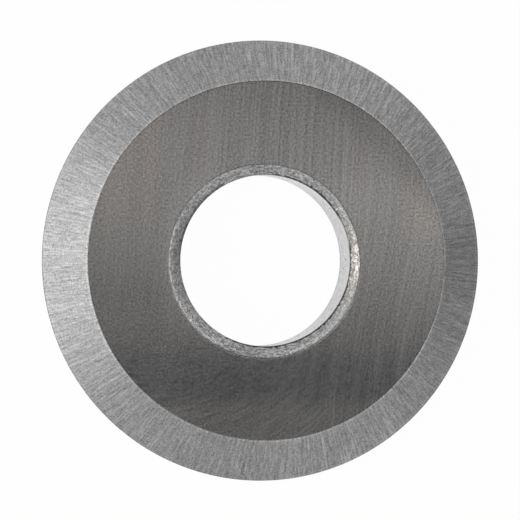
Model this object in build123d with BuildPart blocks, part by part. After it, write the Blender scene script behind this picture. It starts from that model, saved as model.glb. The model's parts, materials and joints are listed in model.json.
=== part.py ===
from build123d import *
import math
import os

# A scoring wheel for a tile cutter, pressed from tungsten carbide, sintered and ground.
# It is one solid. The wheel lies flat: its axis is +Z, and the origin is its centre,
# halfway through its thickness, where the cutting edge runs. All lengths are in millimetres.

# Ground outer form
outer_diameter = 16.0     # over the honed cutting edge
thickness = 3.0
edge_angle = 90.0         # between the two bevels that meet at the cutting edge, degrees
edge_radius = 0.025       # hone that rounds the tip of the cutting edge

# Bore that runs on the tool's axle
bore_diameter = 6.2

# Pressed chamfer at both mouths of the bore
chamfer_width = 0.37      # along the face
chamfer_slope = 28.0      # down from the face, degrees
chamfer_shift = 0.08      # from the wheel's axis to the chamfers' own axis
chamfer_shift_angle = 188.0  # direction of that shift in the XY plane, counted from +X, degrees

# Sizes that follow from the ones above
half_thickness = thickness / 2
half_edge_angle = math.radians(edge_angle / 2)
edge_loss = edge_radius / math.sin(half_edge_angle) - edge_radius  # ground off the tip by the hone
tip_radius = outer_diameter / 2 + edge_loss                        # where the two bevels would meet
face_radius = tip_radius - half_thickness / math.tan(half_edge_angle)
bore_radius = bore_diameter / 2

# The chamfers kept the place that the press gave them, while the bore and the edge were ground
# true to each other afterwards, so each chamfer lies a little off the wheel's axis.
chamfer_centre = Vector(chamfer_shift, 0).rotate(Axis.Z, chamfer_shift_angle)
chamfer_face_radius = bore_radius + chamfer_width
chamfer_cone_height = chamfer_face_radius * math.tan(math.radians(chamfer_slope))
chamfer_plane = Plane(origin=chamfer_centre, x_dir=(1, 0, 0), z_dir=(0, -1, 0))
chamfer_axis = Axis(chamfer_centre, (0, 0, 1))

with BuildPart() as scoring_wheel:
    # Half of the wheel's cross-section: bore wall, two flat faces and two bevels
    with BuildSketch(Plane.XZ) as section:
        with BuildLine():
            Polyline(
                (bore_radius, -half_thickness),
                (face_radius, -half_thickness),
                (tip_radius, 0),
                (face_radius, half_thickness),
                (bore_radius, half_thickness),
                close=True,
            )
        make_face()
        cutting_edge = section.vertices().sort_by(Axis.X)[-1]
        fillet(cutting_edge, radius=edge_radius)
    revolve(axis=Axis.Z)

    # Chamfers at the two mouths of the bore, cut as two cones that point at each other
    with BuildSketch(chamfer_plane) as chamfer_section:
        with BuildLine():
            Polyline(
                (0, half_thickness),
                (chamfer_face_radius, half_thickness),
                (0, half_thickness - chamfer_cone_height),
                close=True,
            )
        make_face()
        mirror(about=Plane.XZ)
    revolve(axis=chamfer_axis, mode=Mode.SUBTRACT)

scoring_wheel.part.label = "scoring_wheel"

os.makedirs("parts", exist_ok=True)
export_step(scoring_wheel.part, "parts/scoring_wheel.step")
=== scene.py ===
import json
import math

import bpy
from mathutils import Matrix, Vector


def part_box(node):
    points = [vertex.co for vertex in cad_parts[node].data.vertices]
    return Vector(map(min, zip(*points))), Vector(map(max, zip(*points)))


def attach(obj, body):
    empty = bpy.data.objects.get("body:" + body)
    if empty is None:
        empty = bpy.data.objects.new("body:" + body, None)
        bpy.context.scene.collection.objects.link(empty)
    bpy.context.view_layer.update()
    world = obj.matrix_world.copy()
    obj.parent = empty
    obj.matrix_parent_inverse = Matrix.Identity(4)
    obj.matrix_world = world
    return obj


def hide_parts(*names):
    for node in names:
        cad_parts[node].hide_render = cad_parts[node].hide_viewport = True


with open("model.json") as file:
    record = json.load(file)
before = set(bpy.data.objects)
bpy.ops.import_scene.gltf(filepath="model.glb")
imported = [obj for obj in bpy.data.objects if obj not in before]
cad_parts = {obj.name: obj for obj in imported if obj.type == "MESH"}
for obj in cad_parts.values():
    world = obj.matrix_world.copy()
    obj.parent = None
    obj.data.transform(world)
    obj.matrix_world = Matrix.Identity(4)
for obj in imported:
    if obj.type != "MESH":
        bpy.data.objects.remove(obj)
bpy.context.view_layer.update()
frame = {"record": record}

# A carbide scoring wheel for a tile cutter, lying on one face with its axis along +Z.
# The frame is in metres and has its origin at the wheel's centre. Sizes here are in millimetres.
MM = 0.001

# Sizes of the wheel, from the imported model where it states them
wheel_low, wheel_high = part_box("scoring_wheel")
bore_mount = next(m for m in frame["record"]["mounts"] if m["name"] == "axle_bore")
outer_radius = min(wheel_high.x, wheel_high.y, -wheel_low.x, -wheel_low.y) / MM
half_thickness = wheel_high.z / MM
bore_radius = bore_mount["dims"]["r_mm"]
half_edge_angle = math.radians(45)
hone_radius = 0.025
tip_radius = outer_radius + hone_radius / math.sin(half_edge_angle) - hone_radius
face_radius = tip_radius - half_thickness / math.tan(half_edge_angle)
chamfer_width = 0.37
chamfer_slope = math.radians(28)
chamfer_shift = 0.08
chamfer_shift_angle = math.radians(188)
chamfer_radius = bore_radius + chamfer_width  # of the chamfer's rim, around its own axis
chamfer_centre = (
    chamfer_shift * math.cos(chamfer_shift_angle),
    chamfer_shift * math.sin(chamfer_shift_angle),
)

# Small forms that only the visible wheel has, all inside the CAD solid
corner_radius = 0.02     # broken corner between face and bevel
grain_height = 0.018     # scale of the grain on the chamfers
rim_waviness = 0.03      # of the line where a chamfer meets the face
rim_round = 0.035        # half the width of the rounding there, where it is least worn
most_worn_angle = -1.05  # where that rounding is widest, in radians from +X
mouth_round = 0.01       # rounding where a chamfer meets the bore's wall

# Mesh of the turned form
divisions_around = 768
section_rows = {  # in each stretch of the half section, from the middle of the bore outwards
    "wall": 12, "mouth": 2, "chamfer": 14, "rim": 3, "face start": 1, "face": 7,
    "face end": 1, "corner": 3, "bevel start": 1, "bevel": 9, "bevel end": 1, "hone": 4,
}
half_rows = sum(section_rows.values())
support_width = 0.02     # of the narrow rows beside a corner
merge_distance = 0.0005  # closes the seam of the rolled-up grid
grain_seed = 7.0

# Places on the ground face, as X and Y
arc_centre = (-4.5, 1.4)  # of the curved grinding marks
painted_light_patch = (3.1, 2.2)

# Camera: the photograph looks down on the wheel from a little to the picture's left
camera_lean = math.radians(7.8)
camera_distance = 300.0
picture_pixels = 520
pixels_per_mm = 27.53
wheel_centre_pixel = (260.7, 260.6)


def grey(level, warmth=0.0):
    """A linear colour near grey. Positive warmth gives more red and less blue."""
    return (level * (1 + warmth), level, level * (1 - warmth), 1.0)


# Linear colours
white = grey(1.0)
floor_grey = grey(0.85)
ground_grey = grey(0.24)
browned_grey = grey(0.24, 0.072)
stain_brown = (0.262, 0.237, 0.229, 1.0)
sintered_dark = grey(0.22)
sintered_light = grey(0.57)
pit_grey = grey(0.08)

# Levels of the two surfaces that are a plain grey
bevel_level = 0.22
bore_level = 0.75


class Wire:
    """The output of a node. Arithmetic on wires adds Math nodes to their tree."""

    def __init__(self, nodes, socket):
        self.nodes = nodes
        self.socket = socket

    def __add__(self, other):
        return self.nodes.math("ADD", self, other)

    def __radd__(self, other):
        return self.nodes.math("ADD", other, self)

    def __sub__(self, other):
        return self.nodes.math("SUBTRACT", self, other)

    def __rsub__(self, other):
        return self.nodes.math("SUBTRACT", other, self)

    def __mul__(self, other):
        return self.nodes.math("MULTIPLY", self, other)

    def __rmul__(self, other):
        return self.nodes.math("MULTIPLY", other, self)

    def __truediv__(self, other):
        return self.nodes.math("DIVIDE", self, other)

    def __rtruediv__(self, other):
        return self.nodes.math("DIVIDE", other, self)

    def __neg__(self):
        return self.nodes.math("MULTIPLY", self, -1.0)

    def __abs__(self):
        return self.nodes.math("ABSOLUTE", self)


class Nodes:
    """Adds nodes to one tree, for a material, the world or a geometry modifier."""

    def __init__(self, tree):
        self.tree = tree
        tree.nodes.clear()

    def add(self, kind, settings=None, inputs=None, output=0):
        """Adds a node: first its settings, then the values or wires of its sockets."""
        node = self.tree.nodes.new(kind)
        for name, value in (settings or {}).items():
            setattr(node, name, value)
        for key, value in (inputs or {}).items():
            if isinstance(value, Wire):
                self.tree.links.new(value.socket, node.inputs[key])
            else:
                node.inputs[key].default_value = value
        return Wire(self, node.outputs[output]) if node.outputs else None

    def math(self, operation, *values):
        return self.add("ShaderNodeMath", {"operation": operation}, dict(enumerate(values)))

    def vector(self, operation, *values):
        settings = {"operation": operation}
        return self.add("ShaderNodeVectorMath", settings, dict(enumerate(values)))

    def scale(self, wire, factor):
        """A vector or colour times one number."""
        inputs = {0: wire, "Scale": factor}
        return self.add("ShaderNodeVectorMath", {"operation": "SCALE"}, inputs)

    def join(self, x, y, z):
        return self.add("ShaderNodeCombineXYZ", inputs={"X": x, "Y": y, "Z": z})

    def split(self, wire):
        parts = self.add("ShaderNodeSeparateXYZ", inputs={"Vector": wire}).socket.node
        return [Wire(self, socket) for socket in parts.outputs]

    def polar(self, x, y, centre=(0.0, 0.0)):
        """A place around an upright axis: its radius, and its angle's cosine and sine."""
        off_x = x - centre[0]
        off_y = y - centre[1]
        radius = self.math("SQRT", off_x * off_x + off_y * off_y)
        return radius, off_x / radius, off_y / radius

    def noise(self, place, scale=1.0, detail=2.0, roughness=0.5):
        """Smooth random values around 0.5."""
        return self.add(
            "ShaderNodeTexNoise",
            {"noise_dimensions": "3D"},
            {"Vector": place, "Scale": scale, "Detail": detail, "Roughness": roughness},
        )

    def streaks(self, x, y, z, detail=1.0, roughness=0.5):
        """Smooth random values around 0, drawn out along each axis that varies slowly."""
        return self.noise(self.join(x, y, z), 1.0, detail, roughness) - 0.5

    def ramp(self, value, low, high):
        """0 where value is at low or under it, 1 at high or above it, and smooth between."""
        return self.add(
            "ShaderNodeMapRange",
            {"interpolation_type": "SMOOTHSTEP"},
            {"Value": value, "From Min": low, "From Max": high},
        )

    def blend(self, share, first, second):
        """A colour between two, by share."""
        settings = {"data_type": "RGBA", "clamp_factor": True}
        return self.add("ShaderNodeMix", settings, {0: share, 6: first, 7: second}, 2)

    def bump(self, height, strength, distance):
        """A normal that height roughens, with distance in millimetres."""
        inputs = {"Height": height, "Strength": strength, "Distance": distance * MM}
        return self.add("ShaderNodeBump", inputs=inputs)

    def is_ray(self, kind):
        """1 for rays of one kind, such as Camera or Glossy, and 0 for all others."""
        return self.add("ShaderNodeLightPath", output=f"Is {kind} Ray")


def toward(x, y, degrees):
    """How far a place lies toward a direction, given in degrees from +X."""
    angle = math.radians(degrees)
    return x * math.cos(angle) + y * math.sin(angle)


def bare_face_radius(nodes, size):
    """Radius at which the face and the bevel would meet if their corner weren't broken."""
    sine_edge = nodes.math("SINE", size["Half Edge Angle"])
    cosine_edge = nodes.math("COSINE", size["Half Edge Angle"])
    loss = size["Hone Radius"] / sine_edge - size["Hone Radius"]
    return size["Outer Radius"] + loss - size["Half Thickness"] * cosine_edge / sine_edge


def section_ends(nodes, size, turn, waviness):
    """Radius and height at which each stretch of the half section ends."""
    # The chamfer's cone, which lies a little off the axis
    bore = size["Bore Radius"]
    shift = size["Chamfer Shift"] * nodes.math("COSINE", turn - size["Shift Angle"])
    rim = shift + (bore + size["Chamfer Width"] + waviness)
    slope = nodes.math("TANGENT", size["Chamfer Slope"])
    top = size["Half Thickness"]
    mouth_height = top - (rim - bore) * slope
    worn = nodes.ramp(nodes.math("COSINE", turn - most_worn_angle), 0.2, 1.0)
    rounding = size["Rim Round"] * (1 + worn * 1.5)

    # Where the face, the bevel and the honed edge meet
    half_angle = size["Half Edge Angle"]
    sine_edge = nodes.math("SINE", half_angle)
    cosine_edge = nodes.math("COSINE", half_angle)
    face = bare_face_radius(nodes, size)
    corner = size["Corner Radius"] * nodes.math("TANGENT", (math.pi / 2 - half_angle) / 2)
    after_corner = corner + support_width
    outer = size["Outer Radius"]
    hone = size["Hone Radius"]
    hone_height = hone * cosine_edge

    return {
        "wall": (bore, mouth_height - mouth_round * 1.5),
        "mouth": (bore + mouth_round, mouth_height + mouth_round * 0.3),
        "chamfer": (rim - rounding, top - rounding * slope),
        "rim": (rim + rounding, top),
        "face start": (rim + rounding + support_width, top),
        "face": (face - after_corner, top),
        "face end": (face - corner, top),
        "corner": (face + corner * sine_edge, top - corner * cosine_edge),
        "bevel start": (face + after_corner * sine_edge, top - after_corner * cosine_edge),
        "bevel": (
            outer - hone + (hone - support_width) * sine_edge,
            hone_height + support_width * cosine_edge,
        ),
        "bevel end": (outer - hone + hone * sine_edge, hone_height),
        "hone": (outer, 0.0),
    }


def add_finishes(nodes, size, wheel, radius, rim_here):
    """Gives each stretch of the wheel its material, from the bore outwards."""
    past_mouth = 0.004  # the chamfer's finish starts partway round the mouth
    past_rim = 0.012    # and the face's finish partway round the chamfer's rim
    wheel = nodes.add(
        "GeometryNodeSetMaterial", inputs={"Geometry": wheel, "Material": size["Bore Finish"]}
    )
    starts = {
        "Chamfer Finish": size["Bore Radius"] + past_mouth,
        "Face Finish": rim_here + past_rim,
        "Bevel Finish": bare_face_radius(nodes, size),
    }
    for name, start in starts.items():
        wheel = nodes.add(
            "GeometryNodeSetMaterial",
            inputs={
                "Geometry": wheel,
                "Selection": nodes.math("GREATER_THAN", radius, start),
                "Material": size[name],
            },
        )
    return wheel


def turned_wheel_tree():
    """Geometry nodes that turn the wheel's section about its axis and roughen its chamfers."""
    tree = bpy.data.node_groups.new("turned_wheel", "GeometryNodeTree")
    nodes = Nodes(tree)
    sizes = {
        "Outer Radius": outer_radius,
        "Half Thickness": half_thickness,
        "Half Edge Angle": half_edge_angle,
        "Hone Radius": hone_radius,
        "Corner Radius": corner_radius,
        "Bore Radius": bore_radius,
        "Chamfer Width": chamfer_width,
        "Chamfer Slope": chamfer_slope,
        "Chamfer Shift": chamfer_shift,
        "Shift Angle": chamfer_shift_angle,
        "Grain Height": grain_height,
        "Rim Waviness": rim_waviness,
        "Rim Round": rim_round,
        "Seed": grain_seed,
    }
    interface = tree.interface
    for name in sizes:
        interface.new_socket(name, in_out="INPUT", socket_type="NodeSocketFloat")
    for name in ("Face Finish", "Bevel Finish", "Chamfer Finish", "Bore Finish"):
        interface.new_socket(name, in_out="INPUT", socket_type="NodeSocketMaterial")
    interface.new_socket("Wheel", in_out="OUTPUT", socket_type="NodeSocketGeometry")
    given = tree.nodes.new("NodeGroupInput")
    size = {socket.name: Wire(nodes, socket) for socket in given.outputs if socket.name}

    # A square grid of rows and divisions, which is then rolled up into the wheel
    grid = nodes.add(
        "GeometryNodeMeshGrid",
        inputs={
            "Size X": 1.0,
            "Size Y": 1.0,
            "Vertices X": divisions_around + 1,
            "Vertices Y": 2 * half_rows + 1,
        },
    )
    across, along, _ = nodes.split(nodes.add("GeometryNodeInputPosition"))
    turn = (across + 0.5) * (2 * math.pi)
    row = (along + 0.5) * (2 * half_rows)
    row_from_bore = half_rows - abs(row - half_rows)
    side = nodes.math("SIGN", row - half_rows)
    cosine = nodes.math("COSINE", turn)
    sine = nodes.math("SINE", turn)
    seed_offset = nodes.join(size["Seed"], size["Seed"] * side, size["Seed"])
    ring = nodes.vector("ADD", nodes.join(cosine * 3, sine * 3, side * 5), seed_offset)
    waviness = (nodes.noise(ring, 1.6, 4.0, 0.6) - 0.5) * size["Rim Waviness"] * 2

    # Each row's radius and height, stretch by stretch
    ends = section_ends(nodes, size, turn, waviness)
    radius = size["Bore Radius"]
    height = 0.0
    last = (size["Bore Radius"], 0.0)
    first_row = 0
    for name, count in section_rows.items():
        end = ends[name]
        share = nodes.add(
            "ShaderNodeMapRange",
            inputs={"Value": row_from_bore, "From Min": first_row, "From Max": first_row + count},
        )
        radius = radius + share * (end[0] - last[0])
        height = height + share * (end[1] - last[1])
        last = end
        first_row += count
    place = nodes.scale(nodes.join(radius * cosine, radius * sine, height * side), MM)
    rolled = nodes.add(
        "GeometryNodeSetPosition", inputs={"Geometry": grid, "Position": place}
    )
    closed = nodes.add(
        "GeometryNodeMergeByDistance",
        inputs={"Geometry": rolled, "Distance": merge_distance * MM},
    )

    # Sintered grain, sunk into the chamfers and faintly into the bore's wall
    spot = nodes.scale(nodes.add("GeometryNodeInputPosition"), 1 / MM)
    x, y, _ = nodes.split(spot)
    spot_radius = nodes.math("SQRT", x * x + y * y)
    seeded = nodes.vector("ADD", spot, seed_offset)
    lumps = nodes.noise(seeded, 5.0, 2.0, 0.6) - 0.5
    grain = nodes.noise(seeded, 14.0, 1.0, 0.5) - 0.5
    angle = nodes.math("ARCTAN2", y, x)
    shift_here = size["Chamfer Shift"] * nodes.math("COSINE", angle - size["Shift Angle"])
    rim_here = shift_here + (size["Bore Radius"] + size["Chamfer Width"])
    on_chamfer = 1 - nodes.ramp(spot_radius, rim_here - 0.1, rim_here)
    off_wall = nodes.ramp(spot_radius, size["Bore Radius"] + 0.002, size["Bore Radius"] + 0.03)
    strength = on_chamfer * (0.12 + off_wall * 0.88) * size["Grain Height"] * MM
    lift = nodes.math("MINIMUM", lumps * 1.6 + grain - 0.25, 0.0) * strength
    offset = nodes.scale(nodes.add("GeometryNodeInputNormal"), lift)
    grained = nodes.add(
        "GeometryNodeSetPosition", inputs={"Geometry": closed, "Offset": offset}
    )

    smooth = nodes.add("GeometryNodeSetShadeSmooth", inputs={"Geometry": grained})
    real = nodes.add("GeometryNodeRealizeInstances", inputs={"Geometry": smooth})
    finished = add_finishes(nodes, size, real, spot_radius, rim_here)
    result = tree.nodes.new("NodeGroupOutput")
    tree.links.new(finished.socket, result.inputs["Wheel"])
    return tree, sizes


def surface(name, build, **constants):
    """A material with a Principled surface. build returns wires for the sockets that vary."""
    material = bpy.data.materials.new(name)
    material.use_nodes = True
    nodes = Nodes(material.node_tree)
    spot = nodes.scale(nodes.add("ShaderNodeTexCoord", output="Object"), 1 / MM)
    values = dict(constants)
    values.update(build(nodes, spot))
    shader = nodes.add("ShaderNodeBsdfPrincipled", inputs=values)
    nodes.add("ShaderNodeOutputMaterial", inputs={"Surface": shader})
    return material


def ground_face(nodes, spot):
    """Straight grinding marks that run nearly along Y, curved ones across most of the lower part,
    thin brown stains, painted shade and a painted highlight inside the corner, and brighter and
    darker patches of painted reflection on the upper face."""
    x, y, z = nodes.split(spot)
    radius, cosine, _ = nodes.polar(x, y)
    from_chamfer = nodes.polar(x, y, chamfer_centre)[0] - chamfer_radius

    # Straight marks, weaker at the far left. Below the bore and at its lower left they are mostly
    # worn away, and curved ones take their place.
    bend = (nodes.noise(spot, 0.12, 1.0) - 0.5) * 1.2
    across = x - y * 0.13 + bend
    thin = nodes.streaks(across * 18, y * 0.35, z)
    wide = nodes.streaks(across * 6, y * 0.2, z + 4)
    straight = (thin + wide * 0.25) * (1 - nodes.ramp(-x, 3.0, 4.5) * 0.35)
    arc, arc_cosine, arc_sine = nodes.polar(x, y, arc_centre)
    curved = nodes.streaks(arc * 16, arc_cosine * 7, arc_sine * 7 + z)
    curved = curved * (0.7 + nodes.ramp(-y, 4.4, 5.2) * 0.4)
    worn = nodes.ramp(-y, 0.5, 3.5) * (1 - nodes.ramp(x, 1.0, 4.0)) * 0.8
    marks = straight * (1 - worn) + curved * worn

    # Lines that are clear everywhere but at the left and lower left, and clearest above the bore
    above_bore = (1 - nodes.ramp(abs(x - 0.3), 0.5, 2.2)) * nodes.ramp(y, 2.0, 4.0)
    lines = nodes.streaks(across * 14, y * 0.2, z + 13) * (1 + above_bore * 0.55)
    lines = lines * nodes.ramp(toward(x, y, 31), -2.4, 0.0)
    sweep = nodes.streaks(across * 2.2, y * 0.12, z + 9, detail=2.0)
    grain = nodes.noise(spot, 14.0, 0.0) - 0.5
    level = 1 + marks * 0.4 + lines * 0.46 + sweep * 0.2 + grain * 1.05

    # A band of painted shade inside the corner, with a painted highlight along its outer part at
    # the right, and chips at the bore
    painted_corner_shade = nodes.ramp(radius, face_radius - 0.12, face_radius - 0.04)
    painted_corner_highlight = nodes.ramp(radius, face_radius - 0.045, face_radius - 0.015)
    painted_corner_highlight = painted_corner_highlight * nodes.ramp(cosine, 0.5, 0.95)
    chips = nodes.ramp(nodes.noise(spot, 11.0, 1.0), 0.5, 0.62) * 0.4 + 0.08
    chips = chips * (1 - nodes.ramp(from_chamfer, 0.0, 0.2)) * nodes.ramp(-y, -1.0, 2.5)
    level = level * (1 - painted_corner_shade * 0.07) * (1 + painted_corner_highlight * 0.15 + chips)

    # Stains
    haze = (nodes.noise(spot, 0.8, 2.0) - 0.5) * 1.5
    left_stain = nodes.ramp(-x + haze * 0.4, 3.6, 4.2) * nodes.ramp(y + haze, 0.6, 2.0)
    right_stain = 1 - nodes.ramp(abs(y - 1.8), 0.4, 1.6)
    right_stain = right_stain * nodes.ramp(x + haze * 0.4, 4.4, 5.4)
    side_stains = left_stain + right_stain
    lower_stain = nodes.ramp(-y + haze * 0.4, 4.8, 5.6)
    upper_part = nodes.ramp(y - haze * 0.6, -3.8, -2.5)
    browned = (upper_part + side_stains + lower_stain) * 0.4
    bands = nodes.ramp(nodes.streaks(across * 1.7, y * 0.08, z), 0.02, 0.16)
    bands = bands * nodes.ramp(y, 0.5, 2.5) * 0.25
    shade = nodes.blend(browned, ground_grey, browned_grey)
    shade = nodes.blend(bands + side_stains * 0.25, shade, stain_brown)

    # Painted reflection: brighter and darker patches, on the upper face only, some of them over
    # the stains
    low_left = nodes.ramp(-y, 1.0, 2.2) * nodes.ramp(-x, 2.4, 3.6)
    left_of_bore = (1 - nodes.ramp(from_chamfer, 0.0, 1.0)) * nodes.ramp(-x, 1.0, 3.0)
    right_of_bore = 1 - nodes.ramp(nodes.polar(x, y, painted_light_patch)[0], 0.2, 1.7)
    upper_right = nodes.ramp(toward(x, y, 45), 5.05, 6.16)
    low_band = nodes.ramp(-y + haze * 0.6, 2.7, 3.9)
    low_band = low_band * (1 - nodes.ramp(-y + haze * 0.4, 4.6, 5.5))
    spots = nodes.ramp(nodes.noise(spot, 7.0), 0.56, 0.64) * low_band
    painted_reflection = (
        lower_stain * 0.16 + low_left * 0.12 + left_of_bore * 0.14 + right_stain * 0.08
        + right_of_bore * 0.13 - upper_right * 0.16 - low_band * 0.12 - spots * 0.22
    )
    upper_face = nodes.ramp(z, 0.0, 1.0)
    shade = nodes.scale(shade, level * (1 + painted_reflection * upper_face))
    return {
        "Base Color": shade,
        "Roughness": 0.27 + marks * 0.1,
        "Normal": nodes.bump(marks, 0.4, 0.003),
    }


def ground_bevel(nodes, spot):
    """Fine grinding marks that run straight from the face to the cutting edge."""
    x, y, z = nodes.split(spot)
    radius, cosine, sine = nodes.polar(x, y)
    long = nodes.streaks(cosine * 110, sine * 110, z * 0.8, roughness=0.6)
    short = nodes.streaks(cosine * 130, sine * 130, z * 3, roughness=0.6)
    broad = nodes.streaks(cosine * 16, sine * 16, z * 0.4, detail=2.0)
    grain = nodes.noise(spot, 15.0, 1.0, 0.6) - 0.5
    marks = long + short
    scratches = marks + marks * marks * 0.7 - 0.016
    level = 1 + scratches * 0.95 + grain * 1.42 + broad * 0.1

    # A painted highlight along the corner, and a painted highlight and then, further out, a line
    # of painted shade along the cutting edge. The far right is a little darker, which is painted
    # shade too.
    depth = half_thickness - abs(z)
    right_side = nodes.ramp(cosine - sine * 0.15, 0.75, 0.95)
    corner = (1 - nodes.ramp(depth, 0.02, 0.1)) * (0.25 + right_side * 0.4)
    painted_edge_highlight = nodes.ramp(radius, outer_radius - 0.15, outer_radius - 0.06)
    painted_edge_highlight = painted_edge_highlight * (0.03 + nodes.ramp(cosine, -0.2, 0.8) * 0.1)
    painted_edge_shade = nodes.ramp(radius, outer_radius - 0.04, outer_radius - 0.02)
    painted_edge_shade = painted_edge_shade * nodes.ramp(cosine, 0.4, 0.8) * 0.35
    painted_dark_sector = nodes.ramp(cosine, 0.97, 1.0)
    level = level * (1 + corner + painted_edge_highlight - painted_edge_shade) * (1 - painted_dark_sector * 0.13) * bevel_level
    return {
        "Base Color": nodes.join(level, level, level),
        "Roughness": 0.32 + marks * 0.1,
        "Normal": nodes.bump(marks, 0.5, 0.004),
    }


def sintered(nodes, spot):
    """The pressed and sintered skin, which grinding never reached."""
    x, y, _ = nodes.split(spot)
    radius = nodes.polar(x, y)[0]
    cone_radius, cosine, sine = nodes.polar(x, y, chamfer_centre)
    left_side = nodes.ramp(-x, 1.0, 3.0)
    right_side = nodes.ramp(x, -2.5, 3.0)
    smoothed_and_painted_shade = nodes.ramp(cosine, 0.3, 0.75) - nodes.ramp(cosine, 0.95, 0.995)

    # Mottled skin with pits, which is smoother at the left and at both sides of the far right
    streak = nodes.streaks(cosine * 20, sine * 20, cone_radius * 22, detail=2.0, roughness=0.65)
    blotch = nodes.noise(spot, 9.0, 2.0, 0.6) - 0.5
    speck = nodes.noise(spot, 20.0, 2.0, 0.6)
    tone = nodes.ramp(streak * 0.6 + blotch * 0.4, -0.1, 0.1)
    tone = tone + (0.55 - tone) * (smoothed_and_painted_shade * 0.4 + left_side * 0.25)
    shade = nodes.blend(tone, sintered_dark, sintered_light)
    rim_line = nodes.ramp(cone_radius, chamfer_radius - 0.08, chamfer_radius - 0.03)
    pits = nodes.ramp(speck, 0.55, 0.66)
    pits = pits * (1 - smoothed_and_painted_shade * 0.3) * (1 - rim_line * left_side * 0.7)
    shade = nodes.blend(pits, shade, pit_grey)

    # Painted shade: a ragged dark line at the bore's mouth, which fades out for a short way at
    # the upper right and is wider at the upper left
    reach = nodes.ramp(abs(sine), 0.25, 0.6) * 0.02
    from_mouth = radius + blotch * 0.14 - bore_radius - reach
    lined = nodes.ramp(x - y * 0.3, -1.2, 0.4)
    unlined = nodes.ramp(toward(cosine, sine, 20), 0.975, 0.995)
    mouth = (1 - nodes.ramp(from_mouth, 0.015, 0.045)) * (0.15 + lined * (0.7 - unlined * 0.4))
    upper_left = nodes.ramp(toward(cosine, sine, 150), 0.8, 0.9)
    mouth = mouth + (1 - nodes.ramp(from_mouth, 0.05, 0.12)) * upper_left * 0.42

    # A painted highlight: a bright line at the rim, clearest at the left and the lower right
    painted_left_rim_highlight = nodes.ramp(cone_radius, chamfer_radius - 0.25, chamfer_radius - 0.04) * left_side
    painted_right_rim_highlight = nodes.ramp(cone_radius, chamfer_radius - 0.16, chamfer_radius - 0.08)
    painted_right_rim_highlight = painted_right_rim_highlight * nodes.ramp(toward(cosine, sine, -30), 0.3, 0.7)
    rim = rim_line * (0.1 + left_side * 0.4) + painted_left_rim_highlight * 0.35
    rim = rim * (1 - nodes.ramp(sine, 0.2, 0.6) * left_side * 0.6) + painted_right_rim_highlight * 0.3

    # Painted light: warm and bright at the far right, and painted shade just above and below
    # that.
    # The level also gathers the painted shade at the mouth, the painted rim highlight, painted
    # shade where the skin is smoothed, and painted light toward the right and toward -Y.
    painted_warm_highlight = nodes.ramp(cosine, 0.86, 1.0)
    warmth = nodes.join(1 + painted_warm_highlight * 0.05, 1.0, 1 - painted_warm_highlight * 0.07)
    painted_shade_beside_highlight = nodes.ramp(cosine, 0.8, 0.93) - nodes.ramp(cosine, 0.975, 1.0)
    level = (1 - mouth) * (1 + rim) * (0.96 - smoothed_and_painted_shade * 0.14)
    level = level * (right_side * 0.18 + 1.01 - sine * 0.05 - painted_shade_beside_highlight * 0.22)
    return {
        "Base Color": nodes.scale(nodes.vector("MULTIPLY", shade, warmth), level),
        "Roughness": 0.42 + speck * 0.15,
        "Normal": nodes.bump(speck, 0.7, 0.012),
    }


def ground_bore(nodes, spot):
    """The bore's wall, ground around the axis, faintly scored along it and mottled, with small
    pits."""
    x, y, z = nodes.split(spot)
    across = x / bore_radius
    along = y / bore_radius
    turned = nodes.streaks(x * 0.5, y * 0.5, z * 9, detail=2.0, roughness=0.6)
    scored = nodes.streaks(x * 13, y * 13, z * 2, detail=2.0, roughness=0.6)
    mottled = nodes.streaks(x * 6, y * 6, z * 3 + 5)
    pits = nodes.ramp(nodes.streaks(x * 6, y * 6, z * 2.5), 0.2, 0.26)

    # Painted shade: a dark line at the mouths, fainter at the lower one, with the same gap as on
    # the chamfer.
    # The dark mask joins it to the real scoring, mottling and pits.
    ragged = nodes.streaks(x * 6, y * 6, z * 3, detail=3.0, roughness=0.6)
    unlined = nodes.ramp(toward(across, along, 20), 0.975, 0.995)
    mouth = nodes.ramp(abs(z) + ragged * 0.3, 1.08, 1.2) * (0.3 + nodes.ramp(z, -0.5, 0.5) * 0.7)
    dark = nodes.math(
        "MAXIMUM", mouth * (0.96 - unlined * 0.5), nodes.ramp(scored, -0.1, 0.3) * 0.12
    )
    dark = nodes.math("MAXIMUM", dark, nodes.ramp(mottled, -0.25, 0.25) * 0.17)
    dark = nodes.math("MAXIMUM", dark, pits * 0.7)

    # Painted light: brighter toward +Y and -Y, most of all toward +Y, and just inside the upper
    # mouth
    painted_reflection = (
        nodes.ramp(abs(along), 0.6, 0.95) * 0.2
        + nodes.ramp(along, 0.5, 0.9) * 0.05
        + nodes.ramp(z, 0.85, 1.0) * 0.05
    )
    level = (1 + turned * 0.2) * (1 - dark * 0.9) * (bore_level + painted_reflection)
    return {
        "Base Color": nodes.join(level, level, level),
        "Metallic": 1 - dark,
        "Roughness": 0.2 + turned * 0.1 + dark * 0.5,
    }


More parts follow.
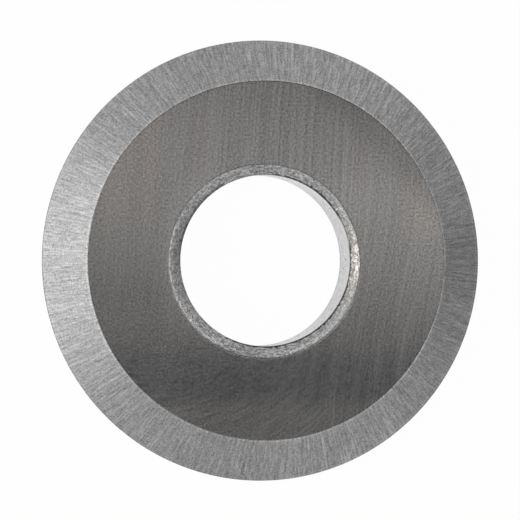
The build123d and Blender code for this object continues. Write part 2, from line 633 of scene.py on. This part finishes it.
def make_wheel():
    """The wheel as one dense mesh that stands for the CAD solid."""
    tree, sizes = turned_wheel_tree()
    finishes = {
        "Face Finish": surface("ground_face", ground_face, Metallic=1.0),
        "Bevel Finish": surface("ground_bevel", ground_bevel, Metallic=1.0, Anisotropic=0.7),
        "Chamfer Finish": surface("sintered_chamfer", sintered, Metallic=0.85),
        "Bore Finish": surface("ground_bore", ground_bore),
    }
    blank = bpy.data.objects.new("wheel_blank", bpy.data.meshes.new("wheel_blank"))
    bpy.context.scene.collection.objects.link(blank)
    modifier = blank.modifiers.new("turned_wheel", "NODES")
    modifier.node_group = tree
    given = {**sizes, **finishes}
    for item in tree.interface.items_tree:
        if item.in_out == "INPUT":
            modifier[item.identifier] = given[item.name]
    graph = bpy.context.evaluated_depsgraph_get()
    mesh = bpy.data.meshes.new_from_object(blank.evaluated_get(graph))
    bpy.data.objects.remove(blank)
    mesh.name = "carbide_wheel"
    unused = [slot for slot, material in enumerate(mesh.materials) if material is None]
    for slot in reversed(unused):
        mesh.materials.pop(index=slot)
    wheel = bpy.data.objects.new("carbide_wheel", mesh)
    bpy.context.scene.collection.objects.link(wheel)
    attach(wheel, "root")
    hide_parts("scoring_wheel")


def make_floor():
    """A wide pale floor under the wheel. It looks white to the camera and pale in reflections,
    and from below it isn't there."""
    half_width = 3.0  # metres
    gap = 0.002       # millimetres, between the floor and the wheel
    seen_by_camera = 0.98
    seen_in_gloss = 0.55
    height = -(half_thickness + gap) * MM
    mesh = bpy.data.meshes.new("floor")
    corners = [
        (side_x * half_width, side_y * half_width, height)
        for side_x, side_y in ((-1, -1), (1, -1), (1, 1), (-1, 1))
    ]
    mesh.from_pydata(corners, [], [(0, 1, 2, 3)])
    floor = bpy.data.objects.new("floor", mesh)
    bpy.context.scene.collection.objects.link(floor)
    material = bpy.data.materials.new("pale_floor")
    material.use_nodes = True
    nodes = Nodes(material.node_tree)
    lit = nodes.add("ShaderNodeBsdfDiffuse", inputs={"Color": floor_grey})
    shining = nodes.add("ShaderNodeEmission", inputs={"Color": white, "Strength": 1.0})
    share = nodes.is_ray("Camera") * seen_by_camera + nodes.is_ray("Glossy") * seen_in_gloss
    mixed = nodes.add("ShaderNodeMixShader", inputs={0: share, 1: lit, 2: shining})
    from_below = nodes.add("ShaderNodeNewGeometry", output="Backfacing")
    clear = nodes.add("ShaderNodeBsdfTransparent")
    one_sided = nodes.add("ShaderNodeMixShader", inputs={0: from_below, 1: mixed, 2: clear})
    nodes.add("ShaderNodeOutputMaterial", inputs={"Surface": one_sided})
    mesh.materials.append(material)


def make_world():
    """A room with lit walls, brightest at the left and just beside a dim stretch at the right,
    under a darker ceiling. The camera sees it as white."""
    world = bpy.data.worlds.new("pale_room")
    bpy.context.scene.world = world
    world.use_nodes = True
    nodes = Nodes(world.node_tree)
    x, y, up = nodes.split(nodes.add("ShaderNodeTexCoord", output="Generated"))
    leftward = -x / nodes.math("SQRT", x * x + y * y + 0.0001)
    beside_right = nodes.ramp(leftward, -0.96, -0.86)
    past_right = nodes.ramp(leftward, -0.8, 0.1)
    left = nodes.ramp(leftward, 0.68, 1.0)
    walls = beside_right * 3.3 + 0.6 - past_right * 2.5 + left * 2.1
    walls = walls * (y * 0.08 + 0.93)
    ceiling = nodes.ramp(leftward, -0.95, -0.5) * 0.22 + 0.04
    level = walls * (1 - nodes.ramp(up, 0.1, 0.4))
    level = level + ceiling * (1 - nodes.ramp(up, 0.7, 0.95)) + 0.075
    shown = nodes.blend(nodes.is_ray("Camera"), nodes.join(level, level, level), white)
    back = nodes.add("ShaderNodeBackground", inputs={"Color": shown, "Strength": 1.0})
    nodes.add("ShaderNodeOutputWorld", inputs={"Surface": back})


def softbox(name, place, width, height, radiance, overhead=False, turn=0.0):
    """A soft lamp at place, in millimetres. It faces the wheel, or straight down if it is
    overhead, and may then be turned about the vertical."""
    lamp = bpy.data.lights.new(name, "AREA")
    lamp.shape = "RECTANGLE"
    lamp.size = width * MM
    lamp.size_y = height * MM
    lamp.energy = radiance * math.pi * lamp.size * lamp.size_y
    holder = bpy.data.objects.new(name, lamp)
    bpy.context.scene.collection.objects.link(holder)
    holder.location = Vector(place) * MM
    if overhead:
        holder.rotation_euler = (0.0, 0.0, turn)
    else:
        holder.rotation_euler = (-Vector(place)).to_track_quat("-Z", "Y").to_euler()


def make_camera():
    """Looks down on the wheel from the picture's left, with +Y up in the picture."""
    camera = bpy.data.objects.new("camera", bpy.data.cameras.new("camera"))
    bpy.context.scene.collection.objects.link(camera)
    bpy.context.scene.camera = camera
    toward_camera = Vector((-math.sin(camera_lean), 0.0, math.cos(camera_lean)))
    camera.location = toward_camera * camera_distance * MM
    camera.rotation_euler = (0.0, -camera_lean, 0.0)
    lens = camera.data
    frame_width = picture_pixels / pixels_per_mm
    lens.sensor_width = 36.0
    lens.lens = lens.sensor_width * camera_distance / frame_width
    lens.shift_x = 0.5 - wheel_centre_pixel[0] / picture_pixels
    lens.shift_y = wheel_centre_pixel[1] / picture_pixels - 0.5
    lens.clip_start = 0.01
    lens.clip_end = 50.0


make_camera()
make_world()
make_floor()
softbox("overhead_strip", (0, 3.5, 40), 56, 8, 0.84, overhead=True, turn=math.radians(-4))
softbox("overhead_right", (21, 1.7, 39), 26, 6, 0.75, overhead=True)
softbox("overhead_back", (-22, 18, 42), 56, 36, 0.31, overhead=True)
softbox("overhead_front", (0, -25, 42), 70, 30, 0.6, overhead=True)
softbox("left_high_softbox", (-70, 0, 62), 60, 40, 3.3)
make_wheel()
bpy.context.scene.view_settings.view_transform = "Standard"
